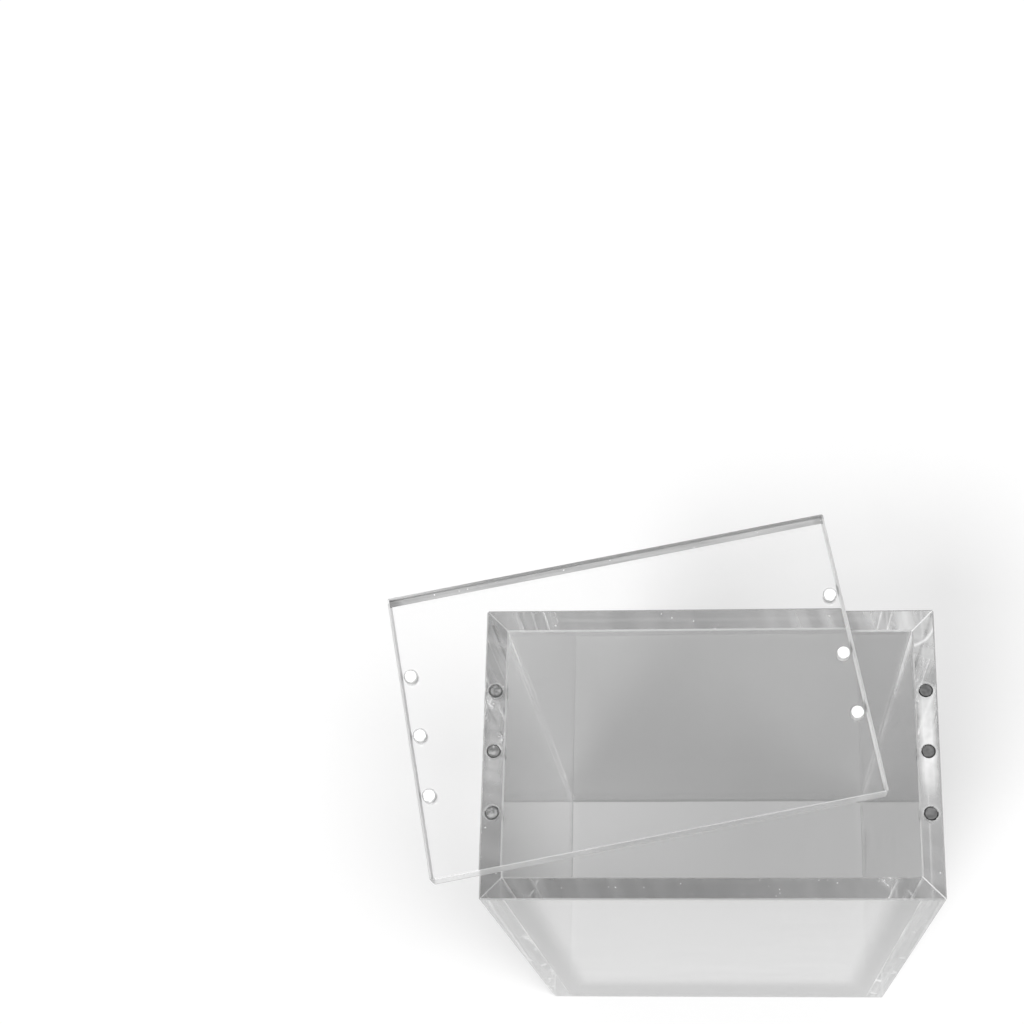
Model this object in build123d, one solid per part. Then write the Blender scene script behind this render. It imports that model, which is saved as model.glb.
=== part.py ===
from build123d import *
import os

# Clear protective case for a boxed game: an open-topped acrylic box and a loose flat lid,
# held shut in use by pairs of small disc magnets let into the rim and the lid.
# Millimetres. The origin is the centre of the underside. +X runs along the long side,
# +Y to the back and +Z up. The lid lies askew on the rim, as it was left.

# Case
outer_width = 90.0
outer_depth = 58.5
outer_height = 158.0
wall_thickness = 4.5
base_thickness = 4.5

# Lid
lid_thickness = 5.0
lid_turn = 11.1
lid_slide_x = -15.4
lid_slide_y = 11.0
air_film = 0.02

# Magnets, in a row along each short side
magnet_diameter = 2.6
magnet_length = 3.0
magnet_pitch = 12.4
magnet_rows = ("front", "middle", "back")
magnet_play = 0.15
magnet_sink = 0.1
magnet_bevel = 0.15
glue_film = 0.05

# Bevels: narrow and even on the case, scraped by hand on the lid and widest along its back
edge_break = 0.3
lid_corner_break = 0.3
lid_front_break = 0.15
lid_side_break = 0.45
lid_back_upper_break = 0.5
lid_back_lower_break = 0.95

# How far a cutting tool reaches past the solid that it cuts
tool_reach = 1.0

inner_width = outer_width - 2 * wall_thickness
inner_depth = outer_depth - 2 * wall_thickness
hole_radius = magnet_diameter / 2 + magnet_play
hole_depth = magnet_length + magnet_sink + glue_film
magnet_line_x = (outer_width - wall_thickness) / 2
bottom_up = (Align.CENTER, Align.CENTER, Align.MIN)
top_down = (Align.CENTER, Align.CENTER, Align.MAX)


def case_tube():
    """The four walls in one: a block with every edge bevelled, bored through to the inside size."""
    block = Box(outer_width, outer_depth, outer_height, align=bottom_up)
    block = chamfer(block.edges(), edge_break)
    bore = Box(inner_width, inner_depth, outer_height, align=bottom_up)
    mouth = Rectangle(inner_width + 2 * edge_break, inner_depth + 2 * edge_break)
    mouth = extrude(Pos(0, 0, outer_height) * mouth, -edge_break, taper=45)
    return block - bore - mouth


def mitre_wedge(side):
    """The plan of one wall, widened along its 45 degree mitre lines to reach past both faces."""
    out_x = outer_width / 2 + tool_reach
    out_y = outer_depth / 2 + tool_reach
    in_x = inner_width / 2 - tool_reach
    in_y = inner_depth / 2 - tool_reach
    corners = {
        "front": [(-out_x, -out_y), (out_x, -out_y), (in_x, -in_y), (-in_x, -in_y)],
        "right": [(out_x, -out_y), (out_x, out_y), (in_x, in_y), (in_x, -in_y)],
        "back": [(out_x, out_y), (-out_x, out_y), (-in_x, in_y), (in_x, in_y)],
        "left": [(-out_x, out_y), (-out_x, -out_y), (-in_x, -in_y), (-in_x, in_y)],
    }[side]
    plan = make_face(Polyline(*corners, close=True))
    return extrude(Pos(0, 0, -tool_reach) * plan, outer_height + 2 * tool_reach)


def magnet_spots(top):
    """The magnets' places on a panel of the case's outline, by name, at the height of the holes' mouths."""
    spots = {}
    for side, sign in (("left", -1), ("right", 1)):
        for step, row in enumerate(magnet_rows):
            y = (step - (len(magnet_rows) - 1) / 2) * magnet_pitch
            spots[f"{side}_{row}"] = Pos(sign * magnet_line_x, y, top)
    return spots


def disc_magnet():
    """A short plated cylinder, its top at the origin and its rims bevelled."""
    disc = Cylinder(magnet_diameter / 2, magnet_length, align=top_down)
    return chamfer(disc.edges().filter_by(GeomType.CIRCLE), magnet_bevel)


def walls():
    """Four walls, mitred at the corners, with the magnets' blind holes in the rim of the short sides."""
    tube = case_tube()
    hole = Cylinder(hole_radius, hole_depth, align=top_down)
    for spot in magnet_spots(outer_height).values():
        tube -= spot * hole
    return {f"{side}_wall": tube & mitre_wedge(side) for side in ("front", "right", "back", "left")}


def base_panel():
    """The floor of the case, let in between the four walls, flush with their lower ends."""
    return Box(inner_width, inner_depth, base_thickness, align=bottom_up)


def lid_place():
    """From the lid's own frame, underside on the origin, to where it lies on the rim's film of air."""
    return Pos(lid_slide_x, lid_slide_y, outer_height + air_film) * Rot(0, 0, lid_turn)


def back_edges(plate):
    """The long edges at the back of a plate, lowest first."""
    return plate.edges().filter_by(Axis.X).group_by(Axis.Y)[-1].sort_by(Axis.Z)


def lid_plate():
    """A plate of the case's outline, in the lid's own frame: what three bevelled blanks have in common."""
    blank = Box(outer_width, outer_depth, lid_thickness, align=bottom_up)
    short_sides = chamfer(blank.edges().filter_by(Axis.Y), lid_side_break)
    corners = chamfer(blank.edges().filter_by(Axis.Z), lid_corner_break)
    long_sides = chamfer(blank.edges().filter_by(Axis.X).group_by(Axis.Y)[0], lid_front_break)
    long_sides = chamfer(back_edges(long_sides)[0], lid_back_lower_break)
    long_sides = chamfer(back_edges(long_sides)[-1], lid_back_upper_break)
    return long_sides & short_sides & corners


def lid():
    """The bevelled plate, with blind holes in its underside, where it lies."""
    plate = lid_plate()
    hole = Cylinder(hole_radius, hole_depth, align=bottom_up)
    for spot in magnet_spots(0).values():
        plate -= spot * hole
    return lid_place() * plate


def rim_magnets():
    """One magnet on the glue in the bottom of each hole in the rim."""
    magnet = disc_magnet()
    spots = magnet_spots(outer_height - magnet_sink)
    return {f"rim_magnet_{name}": spot * magnet for name, spot in spots.items()}


def lid_magnets():
    """One magnet against the glue in the blind end of each hole in the lid."""
    magnet = disc_magnet()
    spots = magnet_spots(hole_depth - glue_film)
    return {f"lid_magnet_{name}": lid_place() * spot * magnet for name, spot in spots.items()}


pieces = {"base_panel": base_panel(), "lid": lid()}
pieces.update(walls())
pieces.update(rim_magnets())
pieces.update(lid_magnets())

os.makedirs("parts", exist_ok=True)
for name, piece in pieces.items():
    export_step(piece, f"parts/{name}.step")
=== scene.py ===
import bpy
import math
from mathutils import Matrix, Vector


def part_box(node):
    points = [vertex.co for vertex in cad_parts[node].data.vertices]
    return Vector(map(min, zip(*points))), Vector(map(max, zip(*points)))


# A clear acrylic case with its loose lid askew on the rim, seen from above on a white table.
# Metres, with the origin at the centre of the underside, +X to the right and +Z up.

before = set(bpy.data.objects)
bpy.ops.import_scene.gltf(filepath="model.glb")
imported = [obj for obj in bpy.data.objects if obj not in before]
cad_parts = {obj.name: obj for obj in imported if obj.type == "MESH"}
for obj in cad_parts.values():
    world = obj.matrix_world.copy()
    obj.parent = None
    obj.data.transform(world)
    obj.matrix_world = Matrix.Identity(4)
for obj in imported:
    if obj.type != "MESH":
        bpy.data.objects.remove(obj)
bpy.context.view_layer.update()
MM = 0.001

# The case's sizes, read off the frame
HALF_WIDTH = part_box("right_wall")[1].x
HALF_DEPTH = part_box("back_wall")[1].y
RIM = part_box("front_wall")[1].z
BASE_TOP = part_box("base_panel")[1].z
INNER_HALF_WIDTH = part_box("base_panel")[1].x
INNER_HALF_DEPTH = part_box("base_panel")[1].y
WALL = HALF_WIDTH - INNER_HALF_WIDTH
LONG_WALLS = ("front_wall", "back_wall")

# The magnets' row in each short wall, and the holes that they sit in, taken a little over their size
MAGNET_LINE = (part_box("rim_magnet_right_middle")[0].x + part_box("rim_magnet_right_middle")[1].x) / 2
MAGNET_ROW_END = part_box("rim_magnet_right_back")[1].y + MM
MAGNET_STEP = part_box("rim_magnet_right_back")[1].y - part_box("rim_magnet_right_middle")[1].y
HOLE_MARGIN = 1.02
HOLE_REACH = HOLE_MARGIN * 1.45 * MM
HOLE_DEPTH = HOLE_MARGIN * 3.15 * MM

# The lid lies askew
LID_LOW, LID_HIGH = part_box("lid")
LID_CENTRE = (LID_LOW + LID_HIGH) / 2
LID_TURN = math.radians(11.1)

# How far a face's direction goes along an axis: nearly all the way, less than that on a bevel, and half of
# it, which tells level faces from upright ones. A mitred end looks out along one axis and in along the other
SQUARE_ON = 0.9
LEANING = 0.95
HALF = 0.5
MITRED = -0.3

# Acrylic. A tint is for light that is traced through the sheet, a shade for light that goes straight on
REFRACTION = 1.49
STRAIGHT_TINT = 0.93
BASE_TINT = 0.8
LID_TINT = 1.0
CASE_SHADE = 0.74
BASE_SHADE = 0.9
LID_SHADE = 0.99

# How near to a face still counts as on it
MARGIN = 0.5 * MM

# The slight unevenness of cast sheet
WAVE_SCALE = 45.0
WAVE_DETAIL = 1.0
WAVE_STRENGTH = 0.02

# Where light counts as going straight through a sheet and where as at a low slant, coming in and going out
ENTERING = (0.25, 0.65)
LEAVING = (0.104, 0.222)

# The tint of the upright faces, looked through at a low slant: at the left or front end, in the middle, and
# at the right or back end. The differences between the walls and along each wall are painted shade
SIDE_TINTS_AND_SHADE = {
    "right_wall": (0.67, 0.63, 0.63),
    "back_wall": (0.515, 0.565, 0.51),
    "left_wall": (0.22, 0.6, 0.84),
}

# The front's tint, and its darker border of painted shade, which fades from the first distance and is gone at
# the second
FRONT_TINT = 0.78
FRONT_SHADE_TINT = 0.33
FRONT_ENDS = (8.0 * MM, 12.0 * MM)
FRONT_FOOT = (22.0 * MM, 32.0 * MM)

# The rim's tints, at the same three places. The long way down through a wall darkens it, and the differences
# between the walls and along each wall are painted shade and light, for how light falls on the table under
# each wall
RIM_TINTS_AND_SHADE = {
    "front_wall": (0.255, 0.25, 0.48),
    "right_wall": (0.35, 0.89, 0.75),
    "back_wall": (0.42, 0.48, 0.87),
    "left_wall": (0.235, 0.31, 0.275),
}

# The share of matt white on the rim, partly dried cement and scuffs and partly painted light that brightens
# some rims, at the same three places, how far its streaks lean, and how much they are drawn out across the
# wall
RIM_HAZE_AND_LIGHT = {
    "front_wall": (0.06, 0.02, 0.06),
    "right_wall": (0.08, 0.08, 0.2),
    "back_wall": (0.11, 0.04, 0.26),
    "left_wall": (0.02, 0.1, 0.1),
}
STREAK_LEAN = 0.3
STREAK_DRAW = 0.12

# The underside of each wall, where light comes out, tinted wall by wall as painted shade
UNDERSIDE_SHADE_TINTS = {"front_wall": 0.5, "right_wall": 0.85, "back_wall": 0.75, "left_wall": 0.7}

# Scraped bevels: their tones, greyer round the outside and paler round the mouth, a painted highlight along
# the inner edge, and how much they cover
OUTER_SCRAPE = 0.5
MOUTH_HIGHLIGHT = 0.65
SCRAPE_COVER = 0.55

# Glue in the rim's holes
HOLE_GLUE = 0.9

# Painted glints on the rim, a painted reflection of light between the magnets. They thin out to the back, to
# the front, and to either side of the magnets' line
GLINT_SHARE = {"left_wall": 0.2, "right_wall": 1.0}
GLINT_BEHIND = (1.5 * MM, 14.0 * MM)
GLINT_BEHIND_LEVELS = (1.0, 0.4)
GLINT_BEFORE = (-10.0 * MM, -1.5 * MM)
GLINT_BEFORE_LEVELS = (0.15, 1.0)
GLINT_ACROSS = (0.8 * MM, 1.9 * MM)

# A thin pale ring round each of the rim's magnets
RING_SHARE = {"left_wall": 0.2, "right_wall": 0.3}
RING_WIDTH = (1.55 * MM, 1.9 * MM)

# A run of cement that dried in a curve on the right wall's rim, by the back corner
RUN_MIDDLE = (INNER_HALF_WIDTH - 1.1 * MM, INNER_HALF_DEPTH + 2.5 * MM)
RUN_RADIUS = 5.7 * MM
RUN_WIDTH = (0.05 * MM, 0.45 * MM)
RUN_SHARE = 0.7
RUN_FRONT = INNER_HALF_DEPTH - 5.0 * MM

# Cement squeezed out on the inner faces along the back corners, partly a painted highlight: how wide and how
# strong, the part of its width that is full, and how it fades from the rim down
CORNER_WEDGE = {"left_wall": (1.4 * MM, 0.7), "right_wall": (3.4 * MM, 1.0)}
CORNER_WEDGE_FULL = 0.3
CORNER_WEDGE_HEIGHTS = (RIM - 45.0 * MM, RIM)
CORNER_WEDGE_LEVELS = (0.1, 1.0)

# Cement in the mitres: a bead along the inner edge, and patches that are plainer low down
BEAD_WIDTH = (0.0, 0.55 * MM)
BEAD_SHARE = 0.75
PATCH_HEIGHTS = (60.0 * MM, 95.0 * MM)
PATCH_LEVELS = (1.0, 0.15)

# The seams where the mitres come out at the rim, on the left and on the right
SEAM_WIDTH = (0.05 * MM, 0.28 * MM)
SEAM_SHARE_LEFT = 0.25
SEAM_SHARE_RIGHT = 0.8

# What gets through the clear part of a mitre, and through the joint of wall and base
MITRE_CLEAR = 0.94
BASE_JOINT_CLEAR = 0.75

# The white of dried cement and glue, also used for the painted glints on the rim
CEMENT_AND_GLINT_WHITE = (0.93, 0.93, 0.93, 1.0)

# The share of light that dried cement in a corner throws back, and the share that it lets through. Together
# they give back more light than falls on it, a painted brightening
BRIGHTENED_CEMENT_SHARE = (0.78, 0.78, 0.78, 1.0)

# From full to nothing
FADE = (1.0, 0.0)

# The lid's edges: how matt they are, and their tones, which paint light and shade
EDGE_COVER = 0.92
FRONT_COVER = 0.4
BACK_EDGE_DARK = 0.54
BACK_EDGE_LEFT = 1.0
BACK_EDGE_LOW = 0.5
BACK_EDGE_LOW_LEFT = 0.4
SIDE_EDGE = 0.76
SIDE_EDGE_LOW = 0.9
FRONT_EDGE = 0.95

# Where on the lid its back edge, its front edge, the pale left end and the lower part of an edge are
LID_BACK = HALF_DEPTH - 1.1 * MM
LID_FRONT = 0.3 * MM - HALF_DEPTH
LID_LEFT_END = (-HALF_WIDTH, -0.55 * HALF_WIDTH)
LID_LOW_PART = (-0.6 * MM, 0.2 * MM)

# The polished front edge of the lid lets light straight through, and glue lines the lid's holes
POLISHED_CLEAR = 0.97
POLISHED_SHARE = 0.8
LID_HOLE_CLEAR = 0.9
LID_HOLE_FILM = 0.12

# The plating's mottle, its unevenness, how its roughness varies, and where its edge darkens
PLATING_SCALE = 1500.0
PLATING_DETAIL = 4.0
PLATING_TONES = (0.4, 0.6)
PLATING_STRENGTH = 0.1
PLATING_HEIGHT = 0.1 * MM
PLATING_GRAIN = (0.3, 0.7)
SMOOTHER = 0.8
ROUGHER = 1.2
PLATING_EDGE = (0.8 * MM, 1.1 * MM)

# Random marks: how fine, in how many sizes, drawn out along which axes, the part of the noise that is used,
# and the levels that it is brought to
MARKS = {
    "rim_cloud": dict(scale=70.0, detail=2.0, between=(0.3, 0.7), levels=(0.9, 1.1)),
    "rim_streaks": dict(scale=260.0, detail=2.0, between=(0.4, 0.65), levels=(0.3, 1.9)),
    "rim_specks": dict(scale=1400.0, detail=1.0, between=(0.75, 0.8), levels=(0.0, 0.8)),
    "glint": dict(scale=260.0, detail=2.0, between=(0.35, 0.65), levels=(0.7, 1.0)),
    "squeezed": dict(scale=300.0, detail=3.0, drawn=(1.0, 1.0, 0.2), between=(0.35, 0.6), levels=(0.4, 1.0)),
    "wisps": dict(scale=450.0, detail=3.0, drawn=(1.0, 1.0, 0.03), between=(0.45, 0.8), levels=(0.0, 0.45)),
    "bead": dict(scale=300.0, detail=3.0, drawn=(1.0, 1.0, 0.15), between=(0.35, 0.65), levels=(0.35, 1.0)),
    "patches": dict(scale=190.0, detail=2.0, drawn=(1.0, 1.0, 0.4), between=(0.58, 0.68), levels=(0.0, 0.8)),
    "saw": dict(scale=1500.0, detail=4.0, drawn=(0.06, 0.06, 1.5), between=(0.35, 0.65),
                levels=(-0.06, 0.06)),
    "sparkle": dict(scale=1400.0, detail=1.0, between=(0.72, 0.78), levels=(0.0, 1.0)),
}

# The table: how far it reaches, how far it lies under the case, and its own tone
TABLE_REACH = 6.0
TABLE_DROP = 0.1 * MM
TABLE_TONE = 0.8

# The light, as shares of the plain level at which a colour looks as it is written
TABLE_LIFT = 0.2
ROOM_LEVEL = 0.16
ROOM_IN_GLASS = 0.8

# How wide a lamp looks, in degrees
LAMP_SPREAD = 14.0


def grey(level):
    return (level, level, level, 1.0)


class Shader:
    """A material's or the world's node tree, with short calls that add and join nodes."""

    def __init__(self, holder):
        holder.use_nodes = True
        self.tree = holder.node_tree
        self.tree.nodes.clear()

    def add(self, kind, inputs=(), **settings):
        """A node with its settings, and inputs by name or number, each a value or another node's output."""
        node = self.tree.nodes.new(kind)
        for name, value in settings.items():
            setattr(node, name, value)
        for key, value in dict(inputs).items():
            self.feed(node.inputs[key], value)
        return node

    def feed(self, socket, value):
        if isinstance(value, bpy.types.NodeSocket):
            self.tree.links.new(value, socket)
        else:
            socket.default_value = value

    def math(self, operation, *values, clamp=False):
        node = self.add("ShaderNodeMath", operation=operation, use_clamp=clamp)
        for socket, value in zip(node.inputs, values):
            self.feed(socket, value)
        return node.outputs[0]

    def size(self, value):
        """A value without its sign."""
        return self.math("ABSOLUTE", value)

    def most(self, *values):
        """The largest of several values."""
        result = values[0]
        for value in values[1:]:
            result = self.math("MAXIMUM", result, value)
        return result

    def all_of(self, *values):
        """The product of several values, so 1 where all of them are 1."""
        result = values[0]
        for value in values[1:]:
            result = self.math("MULTIPLY", result, value)
        return result

    def distance(self, across, along):
        """How far away a point is that is so far across and so far along."""
        squares = [self.math("MULTIPLY", part, part) for part in (across, along)]
        return self.math("SQRT", self.math("ADD", *squares))

    def over(self, value, limit):
        return self.math("GREATER_THAN", value, limit)

    def under(self, value, limit):
        return self.math("LESS_THAN", value, limit)

    def near(self, value, middle, reach):
        """1 where value is within reach of middle."""
        return self.under(self.size(self.math("SUBTRACT", value, middle)), reach)

    def remap(self, value, between, levels):
        """A value, from between two numbers to between two levels, and no further."""
        ends = {"Value": value, "From Min": between[0], "From Max": between[1],
                "To Min": levels[0], "To Max": levels[1]}
        return self.add("ShaderNodeMapRange", ends).outputs["Result"]

    def blend(self, share, first, second):
        """A number part of the way from first to second."""
        return self.add("ShaderNodeMix", {0: share, 2: first, 3: second}, data_type="FLOAT").outputs[0]

    def split(self, vector):
        return self.add("ShaderNodeSeparateXYZ", {"Vector": vector}).outputs

    def place(self):
        """Where on the object a point is, in metres."""
        return self.add("ShaderNodeTexCoord").outputs["Object"]

    def facing(self):
        """Which way the flat face at a point looks, as three numbers."""
        return self.split(self.add("ShaderNodeNewGeometry").outputs["True Normal"])

    def noise(self, vector, scale, detail):
        node = self.add("ShaderNodeTexNoise", {"Vector": vector, "Scale": scale, "Detail": detail})
        return node.outputs["Fac"]

    def marks(self, name, place):
        """Random marks of one kind, as a level that changes from point to point."""
        kind = MARKS[name]
        if "drawn" in kind:
            drawn = {"Vector": place, "Scale": kind["drawn"]}
            place = self.add("ShaderNodeMapping", drawn).outputs["Vector"]
        noise = self.noise(place, kind["scale"], kind["detail"])
        return self.remap(noise, kind["between"], kind["levels"])

    def matt(self, colour):
        return self.add("ShaderNodeBsdfDiffuse", {"Color": colour}).outputs[0]

    def see_through(self, level):
        """Nothing but a share of light that goes straight on."""
        return self.add("ShaderNodeBsdfTransparent", {"Color": grey(level)}).outputs[0]

    def mix(self, share, first, second):
        return self.add("ShaderNodeMixShader", {0: share, 1: first, 2: second}).outputs[0]

    def finish(self, surface, kind="ShaderNodeOutputMaterial"):
        self.add(kind, {"Surface": surface})


def faint_waves(shader, place):
    """The slight unevenness of cast sheet."""
    wave = shader.noise(place, WAVE_SCALE, WAVE_DETAIL)
    bump = shader.add("ShaderNodeBump", {"Height": wave, "Strength": WAVE_STRENGTH, "Distance": MM})
    return bump.outputs["Normal"]


def clear_sheet(shader, tint, shade, place):
    """Polished acrylic. Light that isn't traced through it as through glass goes on straight, and dimmer."""
    colour = tint if isinstance(tint, bpy.types.NodeSocket) else grey(tint)
    body = shader.add("ShaderNodeBsdfPrincipled", {
        "Base Color": colour, "Transmission Weight": 1.0, "IOR": REFRACTION, "Roughness": 0.0,
        "Normal": faint_waves(shader, place)})
    path = shader.add("ShaderNodeLightPath").outputs
    lit_through = shader.math("MAXIMUM", path["Is Shadow Ray"], path["Is Diffuse Ray"])
    return shader.mix(lit_through, body.outputs["BSDF"], shader.see_through(shade))


def from_outline(shader, place):
    """How far inside the case's outline a point is, along its width and its depth."""
    x, y = shader.split(place)[:2]
    off_x = shader.math("SUBTRACT", HALF_WIDTH, shader.size(x))
    off_y = shader.math("SUBTRACT", HALF_DEPTH, shader.size(y))
    return off_x, off_y


def inside(shader, place):
    """1 at and near the inner faces of the walls."""
    off_x, off_y = from_outline(shader, place)
    return shader.over(shader.math("MINIMUM", off_x, off_y), WALL - MARGIN)


def inner_face(shader, place):
    """1 on the face of a wall that looks into the case."""
    nx, ny = shader.facing()[:2]
    upright = shader.over(shader.most(shader.size(nx), shader.size(ny)), SQUARE_ON)
    return shader.math("MULTIPLY", inside(shader, place), upright)


def level_face(shader):
    """1 on every face that lies level, seen from either side."""
    return shader.over(shader.size(shader.facing()[2]), SQUARE_ON)


def rim_face(shader, place):
    """1 on the upper end face of a wall."""
    return shader.all_of(level_face(shader), shader.over(shader.split(place)[2], RIM - MM))


def bevels(shader):
    """1 on every face that leans."""
    sizes = [shader.size(part) for part in shader.facing()]
    return shader.under(shader.most(*sizes), LEANING)


def mitre_face(shader, place):
    """1 on the mitred ends of a wall, which look out along one side of the case and in along the other."""
    x, y = shader.split(place)[:2]
    nx, ny = shader.facing()[:2]
    out_x = shader.math("MULTIPLY", nx, shader.math("SIGN", x))
    out_y = shader.math("MULTIPLY", ny, shader.math("SIGN", y))
    return shader.under(shader.math("MULTIPLY", out_x, out_y), MITRED)


def along_wall(shader, wall, place, levels):
    """A value that goes along a wall from its level at one end, by the middle's, to the other end's."""
    x, y = shader.split(place)[:2]
    along, reach = (x, HALF_WIDTH) if wall in LONG_WALLS else (y, HALF_DEPTH)
    start, middle, end = levels
    first = shader.remap(along, (-reach, 0.0), (start, middle))
    second = shader.remap(along, (0.0, reach), (0.0, end - middle))
    return shader.math("ADD", first, second)


def aslant(shader):
    """0 where light goes straight through a sheet, up to 1 where it takes the long way at a low slant."""
    facing = shader.add("ShaderNodeLayerWeight").outputs["Facing"]
    leaving = shader.add("ShaderNodeNewGeometry").outputs["Backfacing"]
    straight = shader.blend(leaving, ENTERING[0], LEAVING[0])
    slanted = shader.blend(leaving, ENTERING[1], LEAVING[1])
    return shader.remap(facing, (straight, slanted), (0.0, 1.0))


def side_tint_and_shade(shader, wall, place):
    """The tint of a wall's upright faces, with painted shade that changes along each wall. The front's is
    darker near its ends and its foot, painted shade.
    """
    if wall in SIDE_TINTS_AND_SHADE:
        return along_wall(shader, wall, place, SIDE_TINTS_AND_SHADE[wall])
    shaded_border = (FRONT_SHADE_TINT, FRONT_TINT)
    ends = shader.remap(from_outline(shader, place)[0], FRONT_ENDS, shaded_border)
    foot = shader.remap(shader.split(place)[2], FRONT_FOOT, shaded_border)
    return shader.math("MINIMUM", ends, foot)


def wall_tint(shader, wall, place):
    """The sheet's tint in a wall, darker and a little cloudy on the upper end face. The rim's and the
    underside's tints hold painted shade.
    """
    rim = along_wall(shader, wall, place, RIM_TINTS_AND_SHADE[wall])
    rim = shader.math("MULTIPLY", rim, shader.marks("rim_cloud", place), clamp=True)
    upright = shader.blend(aslant(shader), STRAIGHT_TINT, side_tint_and_shade(shader, wall, place))
    tint = shader.blend(rim_face(shader, place), upright, rim)
    underside = shader.all_of(level_face(shader), shader.under(shader.split(place)[2], MM))
    return shader.blend(underside, tint, UNDERSIDE_SHADE_TINTS[wall])


def rim_haze_and_light(shader, wall, place):
    """The share of matt white on the upper end face, partly haze and partly painted light: soft slanted
    streaks across the wall, and specks.
    """
    x, y = shader.split(place)[:2]
    along, across = (x, y) if wall in LONG_WALLS else (y, x)
    slanted = shader.math("MULTIPLY_ADD", across, STREAK_LEAN, along)
    across = shader.math("MULTIPLY", across, STREAK_DRAW)
    drawn = shader.add("ShaderNodeCombineXYZ", {0: slanted, 1: across}).outputs[0]
    haze = shader.math("MULTIPLY", along_wall(shader, wall, place, RIM_HAZE_AND_LIGHT[wall]),
                       shader.marks("rim_streaks", drawn))
    haze = shader.math("MAXIMUM", haze, shader.marks("rim_specks", place))
    return shader.math("MULTIPLY", haze, rim_face(shader, place))


def from_magnet_line(shader, place):
    """How far outside the line through its wall's magnets a point is."""
    return shader.math("SUBTRACT", shader.size(shader.split(place)[0]), MAGNET_LINE)


def from_magnet(shader, place):
    """How far a point of a rim is from the middle of the nearest magnet."""
    from_middle = shader.math("WRAP", shader.split(place)[1], -MAGNET_STEP / 2, MAGNET_STEP / 2)
    return shader.distance(from_magnet_line(shader, place), from_middle)


def rim_hole(shader, place):
    """1 in a short wall's holes for the magnets."""
    y, z = shader.split(place)[1:]
    in_row = shader.all_of(shader.near(from_magnet_line(shader, place), 0.0, HOLE_REACH),
                           shader.near(y, 0.0, MAGNET_ROW_END))
    deep = shader.all_of(shader.over(z, RIM - HOLE_DEPTH), shader.under(shader.facing()[2], HALF))
    return shader.math("MULTIPLY", in_row, deep)


def painted_glint_and_ring(shader, wall, place):
    """The share of white on the rim: painted glints, strongest by the middle magnet, and a thin pale ring
    round each magnet.
    """
    y = shader.split(place)[1]
    behind = shader.remap(y, GLINT_BEHIND, GLINT_BEHIND_LEVELS)
    before = shader.remap(y, GLINT_BEFORE, GLINT_BEFORE_LEVELS)
    along = shader.math("MINIMUM", behind, before)
    along = shader.math("MULTIPLY", along, shader.under(shader.size(y), MAGNET_STEP))
    across = shader.remap(shader.size(from_magnet_line(shader, place)), GLINT_ACROSS, FADE)
    patchy = shader.marks("glint", place)
    glint = shader.all_of(along, across, patchy, GLINT_SHARE[wall])
    ring = shader.remap(from_magnet(shader, place), RING_WIDTH, (RING_SHARE[wall], 0.0))
    ring = shader.all_of(ring, patchy, shader.under(shader.size(y), MAGNET_ROW_END + MM))
    return shader.math("MULTIPLY", shader.math("MAXIMUM", glint, ring), rim_face(shader, place))


def dried_run(shader, place):
    """The share of cement in the curved run by the back right corner."""
    x, y = shader.split(place)[:2]
    run_x = shader.math("SUBTRACT", x, RUN_MIDDLE[0])
    run_y = shader.math("SUBTRACT", y, RUN_MIDDLE[1])
    off_run = shader.size(shader.math("SUBTRACT", shader.distance(run_x, run_y), RUN_RADIUS))
    run = shader.remap(off_run, RUN_WIDTH, (RUN_SHARE, 0.0))
    return shader.all_of(run, shader.over(y, RUN_FRONT), rim_face(shader, place))


def cement_and_highlight_wedge(shader, wall, place):
    """The share of cement squeezed out on the inner face along the back corner, less of it further down,
    partly a painted highlight.
    """
    y, z = shader.split(place)[1:]
    wide, strength = CORNER_WEDGE[wall]
    from_corner = shader.math("SUBTRACT", INNER_HALF_DEPTH, y)
    squeezed = shader.remap(from_corner, (CORNER_WEDGE_FULL * wide, wide), (strength, 0.0))
    sunk = shader.remap(z, CORNER_WEDGE_HEIGHTS, CORNER_WEDGE_LEVELS)
    return shader.all_of(squeezed, sunk, shader.marks("squeezed", place), inner_face(shader, place))


def mitre_cement(shader, place):
    """The share of cement in a mitre: wisps, patches in the lower half, and a bead along the inner edge."""
    low_down = shader.remap(shader.split(place)[2], PATCH_HEIGHTS, PATCH_LEVELS)
    patches = shader.math("MULTIPLY", shader.marks("patches", place), low_down)
    from_inside = shader.math("SUBTRACT", shader.size(shader.split(place)[0]), INNER_HALF_WIDTH)
    bead = shader.remap(from_inside, BEAD_WIDTH, (BEAD_SHARE, 0.0))
    bead = shader.math("MULTIPLY", bead, shader.marks("bead", place))
    return shader.most(shader.marks("wisps", place), patches, bead)


def rim_seam(shader, place):
    """The share of cement in the line where a mitre comes out at the rim."""
    off_x, off_y = from_outline(shader, place)
    line = shader.remap(shader.size(shader.math("SUBTRACT", off_x, off_y)), SEAM_WIDTH, FADE)
    right = shader.over(shader.split(place)[0], 0.0)
    strong = shader.blend(right, SEAM_SHARE_LEFT, SEAM_SHARE_RIGHT)
    upward = shader.over(shader.facing()[2], HALF)
    return shader.all_of(line, strong, upward, shader.over(shader.split(place)[2], RIM - MM))


def brightened_cement(shader):
    """Cement dried inside a corner, which catches light from both sides and gives back more than falls on it,
    painted brightness.
    """
    thrown_back = shader.matt(BRIGHTENED_CEMENT_SHARE)
    let_through = shader.add("ShaderNodeBsdfTranslucent", {"Color": BRIGHTENED_CEMENT_SHARE}).outputs[0]
    return shader.add("ShaderNodeAddShader", {0: thrown_back, 1: let_through}).outputs[0]


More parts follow.
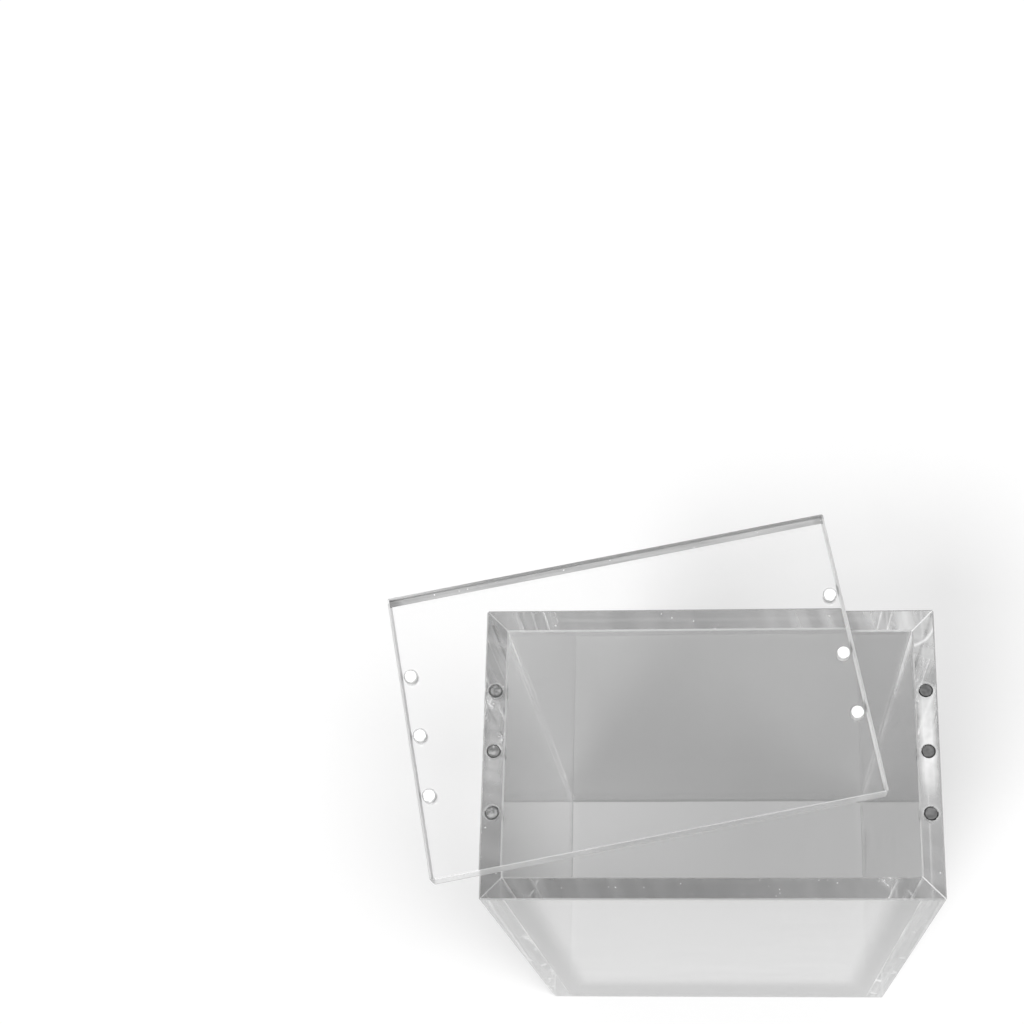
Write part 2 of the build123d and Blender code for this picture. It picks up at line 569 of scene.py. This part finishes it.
def wall_acrylic(wall):
    """A wall: slightly smoky sheet with painted shade in its tints and painted highlights on its rim, and
    cemented joints that light goes through and that show as streaks.
    """
    material = bpy.data.materials.new(wall + "_acrylic")
    shader = Shader(material)
    place = shader.place()
    z = shader.split(place)[2]
    cement_and_glint_film = shader.matt(CEMENT_AND_GLINT_WHITE)
    brightened = brightened_cement(shader)
    surface = clear_sheet(shader, wall_tint(shader, wall, place), CASE_SHADE, place)

    # Scraped bevels, paler round the mouth as a painted highlight. Round the underside light goes straight
    # through them
    scraped = shader.matt(shader.blend(inside(shader, place), OUTER_SCRAPE, MOUTH_HIGHLIGHT))
    surface = shader.mix(shader.all_of(bevels(shader), shader.over(z, MM), SCRAPE_COVER), surface, scraped)
    # Light goes through the underside's bevels, dimmed by the wall's painted shade
    clear_underside_bevel = shader.see_through(math.sqrt(UNDERSIDE_SHADE_TINTS[wall]))
    surface = shader.mix(shader.all_of(bevels(shader), shader.under(z, MM)), surface, clear_underside_bevel)

    # Haze and painted light, glue, painted glints and dried cement on the rim, and cement squeezed out below
    # it with a painted highlight
    surface = shader.mix(rim_haze_and_light(shader, wall, place), surface, cement_and_glint_film)
    if wall not in LONG_WALLS:
        surface = shader.mix(shader.math("MULTIPLY", rim_hole(shader, place), HOLE_GLUE), surface, cement_and_glint_film)
        surface = shader.mix(painted_glint_and_ring(shader, wall, place), surface, cement_and_glint_film)
        if wall == "right_wall":
            surface = shader.mix(dried_run(shader, place), surface, cement_and_glint_film)
        surface = shader.mix(cement_and_highlight_wedge(shader, wall, place), surface, brightened)

    # The mitres, and the strip of the inner face that the base is cemented to
    # The mitres' cement is brightened the same way, painted light
    joint = shader.mix(mitre_cement(shader, place), shader.see_through(MITRE_CLEAR), brightened)
    surface = shader.mix(mitre_face(shader, place), surface, joint)
    strip = shader.all_of(inner_face(shader, place), shader.under(z, BASE_TOP))
    surface = shader.mix(strip, surface, shader.see_through(BASE_JOINT_CLEAR))
    shader.finish(shader.mix(rim_seam(shader, place), surface, cement_and_glint_film))
    return material


def base_acrylic():
    """The let-in floor, open at its four cemented edges."""
    material = bpy.data.materials.new("base_acrylic")
    shader = Shader(material)
    sheet = clear_sheet(shader, BASE_TINT, BASE_SHADE, shader.place())
    edge = shader.under(shader.size(shader.facing()[2]), HALF)
    shader.finish(shader.mix(edge, sheet, shader.see_through(1.0)))
    return material


def lid_edge_tone(shader, place, front, back):
    """The grey of the lid's edges, with painted light and shade: dark at the back but for its pale left end,
    two tones from top to bottom, palest in front, and painted glints along the back.
    """
    left_end = shader.remap(shader.split(place)[0], LID_LEFT_END, FADE)
    low = shader.remap(shader.split(place)[2], LID_LOW_PART, FADE)
    back_tone = shader.blend(low, shader.blend(left_end, BACK_EDGE_DARK, BACK_EDGE_LEFT),
                             shader.blend(left_end, BACK_EDGE_LOW, BACK_EDGE_LOW_LEFT))
    tone = shader.blend(back, shader.blend(low, SIDE_EDGE, SIDE_EDGE_LOW), back_tone)
    tone = shader.blend(front, tone, FRONT_EDGE)
    tone = shader.math("ADD", tone, shader.marks("saw", place))
    return shader.math("MAXIMUM", tone, shader.math("MULTIPLY", shader.marks("sparkle", place), back))


def lid_acrylic():
    """The loose lid: clear faces, and sawn edges, less well polished at the back than at the front."""
    material = bpy.data.materials.new("lid_acrylic")
    shader = Shader(material)
    place = shader.place()
    sheet = clear_sheet(shader, LID_TINT, LID_SHADE, place)

    # Place in the lid's own frame
    own = {"Vector": place, "Location": LID_CENTRE, "Rotation": (0.0, 0.0, LID_TURN)}
    own_place = shader.add("ShaderNodeMapping", own, vector_type="TEXTURE").outputs["Vector"]
    x, y = shader.split(own_place)[:2]
    level = shader.size(shader.facing()[2])

    # Edges and bevels, scraped matt at the back and the sides and polished in front
    edged = shader.under(level, LEANING)
    back = shader.over(y, LID_BACK)
    front = shader.under(y, LID_FRONT)
    frost = shader.matt(lid_edge_tone(shader, own_place, front, back))
    polished = shader.all_of(edged, front, POLISHED_SHARE)
    surface = shader.mix(polished, sheet, shader.see_through(POLISHED_CLEAR))
    cover = shader.math("MULTIPLY", edged, shader.blend(front, EDGE_COVER, FRONT_COVER))
    surface = shader.mix(cover, surface, frost)

    # Glue round the magnets
    in_row = shader.near(shader.size(x), MAGNET_LINE, HOLE_REACH)
    hole = shader.all_of(in_row, shader.near(y, 0.0, MAGNET_ROW_END), shader.under(level, HALF))
    surface = shader.mix(shader.math("MULTIPLY", hole, LID_HOLE_CLEAR), surface, shader.see_through(1.0))
    surface = shader.mix(shader.math("MULTIPLY", hole, LID_HOLE_FILM), surface, shader.matt(CEMENT_AND_GLINT_WHITE))
    shader.finish(surface)
    return material


def plating(name, light, dark, roughness, metallic=1.0, darker_edge=False):
    """Nickel plate on a small pressed magnet, mottled and a little rough, and darker round its edge where that
    is asked for.
    """
    material = bpy.data.materials.new(name)
    shader = Shader(material)
    place = shader.place()
    mottle = shader.noise(place, PLATING_SCALE, PLATING_DETAIL)
    share = shader.remap(mottle, PLATING_TONES, (0.0, 1.0))
    if darker_edge:
        middle = shader.remap(from_magnet(shader, place), PLATING_EDGE, FADE)
        share = shader.math("MULTIPLY", share, middle)
    bump = shader.add("ShaderNodeBump", {
        "Height": mottle, "Strength": PLATING_STRENGTH, "Distance": PLATING_HEIGHT})
    rough = shader.remap(mottle, PLATING_GRAIN, (SMOOTHER * roughness, ROUGHER * roughness))
    body = shader.add("ShaderNodeBsdfPrincipled", {
        "Base Color": shader.blend(share, dark, light), "Metallic": metallic, "Roughness": rough,
        "Normal": bump.outputs["Normal"]})
    shader.finish(body.outputs["BSDF"])
    return material


def magnets(start):
    return [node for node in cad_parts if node.startswith(start)]


def dress(nodes, material):
    for node in nodes:
        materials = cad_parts[node].data.materials
        materials.clear()
        materials.append(material)


def white_table():
    """A matt white table top, just under the case, that looks as white as paper in the light."""
    corners = [(x, y, -TABLE_DROP) for x, y in ((-TABLE_REACH, -TABLE_REACH), (TABLE_REACH, -TABLE_REACH),
                                                (TABLE_REACH, TABLE_REACH), (-TABLE_REACH, TABLE_REACH))]
    mesh = bpy.data.meshes.new("table_top")
    mesh.from_pydata(corners, [], [(0, 1, 2, 3)])
    table = bpy.data.objects.new("table_top", mesh)
    bpy.context.scene.collection.objects.link(table)
    material = bpy.data.materials.new("table_paper")
    shader = Shader(material)
    path = shader.add("ShaderNodeLightPath").outputs
    seen = shader.most(path["Is Camera Ray"], path["Is Glossy Ray"], path["Is Transmission Ray"])
    lift = shader.add("ShaderNodeEmission", {"Strength": shader.math("MULTIPLY", seen, TABLE_LIFT)})
    paper = shader.add("ShaderNodeAddShader", {0: shader.matt(grey(TABLE_TONE)), 1: lift.outputs[0]})
    shader.finish(paper.outputs[0])
    mesh.materials.append(material)


def white_room():
    """An even white room. What the camera sees of it past the table is plain white."""
    world = bpy.data.worlds.new("white_room")
    bpy.context.scene.world = world
    shader = Shader(world)
    path = shader.add("ShaderNodeLightPath").outputs
    in_glass = shader.math("MAXIMUM", path["Is Glossy Ray"], path["Is Transmission Ray"])
    in_glass = shader.math("MULTIPLY", in_glass, ROOM_IN_GLASS)
    level = shader.most(path["Is Camera Ray"], in_glass, ROOM_LEVEL)
    room = shader.add("ShaderNodeBackground", {"Color": grey(1.0), "Strength": level})
    shader.finish(room.outputs[0], "ShaderNodeOutputWorld")


def soft_lamp(name, azimuth, elevation, level):
    """A wide far lamp. The angles are in degrees, azimuth 0 in front of the case and 90 to its right. Level is
    the share of plain light that it gives a level surface."""
    azimuth = math.radians(azimuth)
    elevation = math.radians(elevation)
    data = bpy.data.lights.new(name, "SUN")
    data.angle = math.radians(LAMP_SPREAD)
    data.energy = math.pi * level / math.sin(elevation)
    lamp = bpy.data.objects.new(name, data)
    bpy.context.scene.collection.objects.link(lamp)
    flat = math.cos(elevation)
    out = Vector((flat * math.sin(azimuth), -flat * math.cos(azimuth), math.sin(elevation)))
    lamp.location = out
    lamp.rotation_euler = out.to_track_quat("Z", "Y").to_euler()


def camera():
    """High above the case and a little in front of it."""
    data = bpy.data.cameras.new("camera")
    data.sensor_width = 36.0
    data.lens = 63.78
    data.shift_x = -0.1
    data.shift_y = 0.1
    data.clip_start = 0.01
    eye = bpy.data.objects.new("camera", data)
    bpy.context.scene.collection.objects.link(eye)
    eye.location = (0.0037, -0.08818, 0.50667)
    eye.rotation_euler = [math.radians(angle) for angle in (18.557, 3.556, 0.625)]
    bpy.context.scene.camera = eye


for wall in RIM_TINTS_AND_SHADE:
    dress([wall], wall_acrylic(wall))
dress(["base_panel"], base_acrylic())
dress(["lid"], lid_acrylic())
dress(magnets("rim_magnet_left"),
      plating("dull_plating", light=0.34, dark=0.13, roughness=0.35, darker_edge=True))
dress(magnets("rim_magnet_right"), plating("dark_plating", light=0.17, dark=0.13, roughness=0.35))
dress(magnets("lid_magnet"),
      plating("bright_plating", light=0.97, dark=0.88, roughness=0.4, metallic=0.85))
white_table()
white_room()
soft_lamp("left_lamp", azimuth=-28.5, elevation=60.3, level=0.5)
soft_lamp("right_lamp", azimuth=59, elevation=70, level=0.38)
camera()

# Light is reflected many times inside thick sheet, and a path that is cut short comes out black
scene = bpy.context.scene
scene.view_settings.view_transform = "Standard"
scene.cycles.max_bounces = 32
scene.cycles.transmission_bounces = 32
scene.cycles.glossy_bounces = 24
scene.cycles.transparent_max_bounces = 32
scene.cycles.caustics_refractive = False
scene.cycles.caustics_reflective = False
